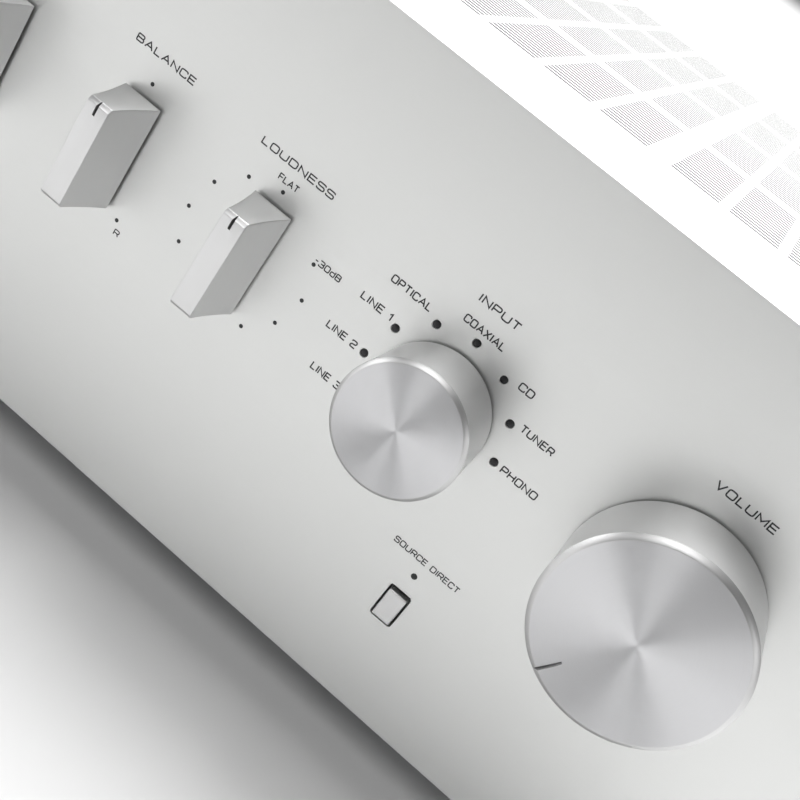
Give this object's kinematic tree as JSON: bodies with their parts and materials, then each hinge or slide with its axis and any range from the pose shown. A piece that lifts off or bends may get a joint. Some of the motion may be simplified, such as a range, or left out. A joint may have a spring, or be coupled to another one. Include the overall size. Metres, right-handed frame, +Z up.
{
  "type": "stereo amplifier",
  "caption": "Full-width stereo amplifier with a thick aluminium front, turned and blade-shaped knobs, press buttons, a slotted cover and rear sockets.",
  "frame": {"origin": "on the surface it stands on, under the middle of the whole, knobs and terminals included", "axes": "+X to the right seen from the front, +Y to the rear, +Z up"},
  "size_m": [0.435, 0.387, 0.151],
  "materials": {
    "panel_aluminium": "fine brushed and clear anodised",
    "knob_aluminium": "turned and polished",
    "cover_paint": "satin silver paint",
    "rear_paint": "satin black paint",
    "galvanised": "galvanised sheet",
    "shaft_steel": "turned",
    "control_steel": "pressed",
    "foot_plastic": "moulded, black",
    "black_plastic": "moulded, black",
    "lens": "smoked clear",
    "board": "green lacquer",
    "sink_aluminium": "black anodised",
    "capacitor_sleeve": "shrunk sleeve",
    "core_iron": "varnished laminations",
    "winding": "enamelled wire",
    "gilt": "gilt"
  },
  "bodies": {
    "case": {"front_panel": "panel_aluminium", "sub_panel": "galvanised", "top_cover": "cover_paint", "chassis_tray": "galvanised", "rear_panel": "rear_paint", "foot_front_left": "foot_plastic", "foot_rear_left": "foot_plastic", "foot_front_right": "foot_plastic", "foot_rear_right": "foot_plastic", "input_light_guide": "lens", "bass_control": "control_steel", "treble_control": "control_steel", "balance_control": "control_steel", "loudness_control": "control_steel", "input_control": "control_steel", "volume_control": "control_steel", "speakers_control": "control_steel", "pure_direct_switch": "black_plastic", "power_switch": "black_plastic", "phones_jack": "black_plastic", "control_board": "board", "volume_motor": "control_steel", "main_board": "board", "heat_sink": "sink_aluminium", "output_transistor_left": "black_plastic", "output_transistor_right": "black_plastic", "filter_capacitor_left": "capacitor_sleeve", "filter_capacitor_right": "capacitor_sleeve", "transformer_core": "core_iron", "transformer_winding": "winding", "source_jacks": "black_plastic", "record_jacks": "black_plastic", "digital_jacks": "black_plastic", "speaker_terminals": "black_plastic", "ac_inlet": "black_plastic"},
    "bass": {"bass_knob": "knob_aluminium", "bass_shaft": "shaft_steel"},
    "treble": {"treble_knob": "knob_aluminium", "treble_shaft": "shaft_steel"},
    "balance": {"balance_knob": "knob_aluminium", "balance_shaft": "shaft_steel"},
    "loudness": {"loudness_knob": "knob_aluminium", "loudness_shaft": "shaft_steel"},
    "input": {"input_knob": "knob_aluminium", "input_shaft": "shaft_steel"},
    "volume": {"volume_knob": "knob_aluminium", "volume_shaft": "shaft_steel"},
    "speakers": {"speakers_knob": "knob_aluminium", "speakers_shaft": "shaft_steel"},
    "pure_direct": {"pure_direct_button": "knob_aluminium"},
    "power": {"power_button": "knob_aluminium"},
    "speaker_cap_a1": {"speaker_cap_a1": "gilt"},
    "speaker_cap_a2": {"speaker_cap_a2": "gilt"},
    "speaker_cap_a3": {"speaker_cap_a3": "gilt"},
    "speaker_cap_a4": {"speaker_cap_a4": "gilt"},
    "speaker_cap_b1": {"speaker_cap_b1": "gilt"},
    "speaker_cap_b2": {"speaker_cap_b2": "gilt"},
    "speaker_cap_b3": {"speaker_cap_b3": "gilt"},
    "speaker_cap_b4": {"speaker_cap_b4": "gilt"},
    "ground": {"ground_screw": "gilt"}
  },
  "joints": [
    {"name": "bass_turn", "type": "hinge", "parent": "case", "child": "bass", "pos_m": [-0.06318, 0, 0.0889], "axis": [0, 1, 0], "range_deg": [-150, 150]},
    {"name": "treble_turn", "type": "hinge", "parent": "case", "child": "treble", "pos_m": [-0.02552, 0, 0.0889], "axis": [0, 1, 0], "range_deg": [-150, 150]},
    {"name": "balance_turn", "type": "hinge", "parent": "case", "child": "balance", "pos_m": [0.01214, 0, 0.0889], "axis": [0, 1, 0], "range_deg": [-150, 150]},
    {"name": "loudness_turn", "type": "hinge", "parent": "case", "child": "loudness", "pos_m": [0.0498, 0, 0.0889], "axis": [0, 1, 0], "range_deg": [-300, 0]},
    {"name": "input_turn", "type": "hinge", "parent": "case", "child": "input", "pos_m": [0.1022, 0, 0.0889], "axis": [0, 1, 0], "continuous": true},
    {"name": "volume_turn", "type": "hinge", "parent": "case", "child": "volume", "pos_m": [0.1644, 0, 0.0889], "axis": [0, 1, 0], "range_deg": [0, 298]},
    {"name": "speakers_turn", "type": "hinge", "parent": "case", "child": "speakers", "pos_m": [-0.113, 0, 0.0452], "axis": [0, 1, 0], "range_deg": [0, 90]},
    {"name": "pure_direct_press", "type": "slide", "parent": "case", "child": "pure_direct", "axis": [0, 1, 0], "range_m": [0, 0.0015], "stiffness_N_per_m": 300},
    {"name": "power_press", "type": "slide", "parent": "case", "child": "power", "axis": [0, 1, 0], "range_m": [0, 0.0025], "stiffness_N_per_m": 300},
    {"name": "speaker_cap_a1_turn", "type": "hinge", "parent": "case", "child": "speaker_cap_a1", "pos_m": [-0.0765, 0, 0.108], "axis": [0, 1, 0], "continuous": true},
    {"name": "speaker_cap_a2_turn", "type": "hinge", "parent": "case", "child": "speaker_cap_a2", "pos_m": [-0.0575, 0, 0.108], "axis": [0, 1, 0], "continuous": true},
    {"name": "speaker_cap_a3_turn", "type": "hinge", "parent": "case", "child": "speaker_cap_a3", "pos_m": [-0.0385, 0, 0.108], "axis": [0, 1, 0], "continuous": true},
    {"name": "speaker_cap_a4_turn", "type": "hinge", "parent": "case", "child": "speaker_cap_a4", "pos_m": [-0.0195, 0, 0.108], "axis": [0, 1, 0], "continuous": true},
    {"name": "speaker_cap_b1_turn", "type": "hinge", "parent": "case", "child": "speaker_cap_b1", "pos_m": [-0.0765, 0, 0.068], "axis": [0, 1, 0], "continuous": true},
    {"name": "speaker_cap_b2_turn", "type": "hinge", "parent": "case", "child": "speaker_cap_b2", "pos_m": [-0.0575, 0, 0.068], "axis": [0, 1, 0], "continuous": true},
    {"name": "speaker_cap_b3_turn", "type": "hinge", "parent": "case", "child": "speaker_cap_b3", "pos_m": [-0.0385, 0, 0.068], "axis": [0, 1, 0], "continuous": true},
    {"name": "speaker_cap_b4_turn", "type": "hinge", "parent": "case", "child": "speaker_cap_b4", "pos_m": [-0.0195, 0, 0.068], "axis": [0, 1, 0], "continuous": true},
    {"name": "ground_turn", "type": "hinge", "parent": "case", "child": "ground", "pos_m": [0.205, 0, 0.052], "axis": [0, 1, 0], "continuous": true}
  ]
}
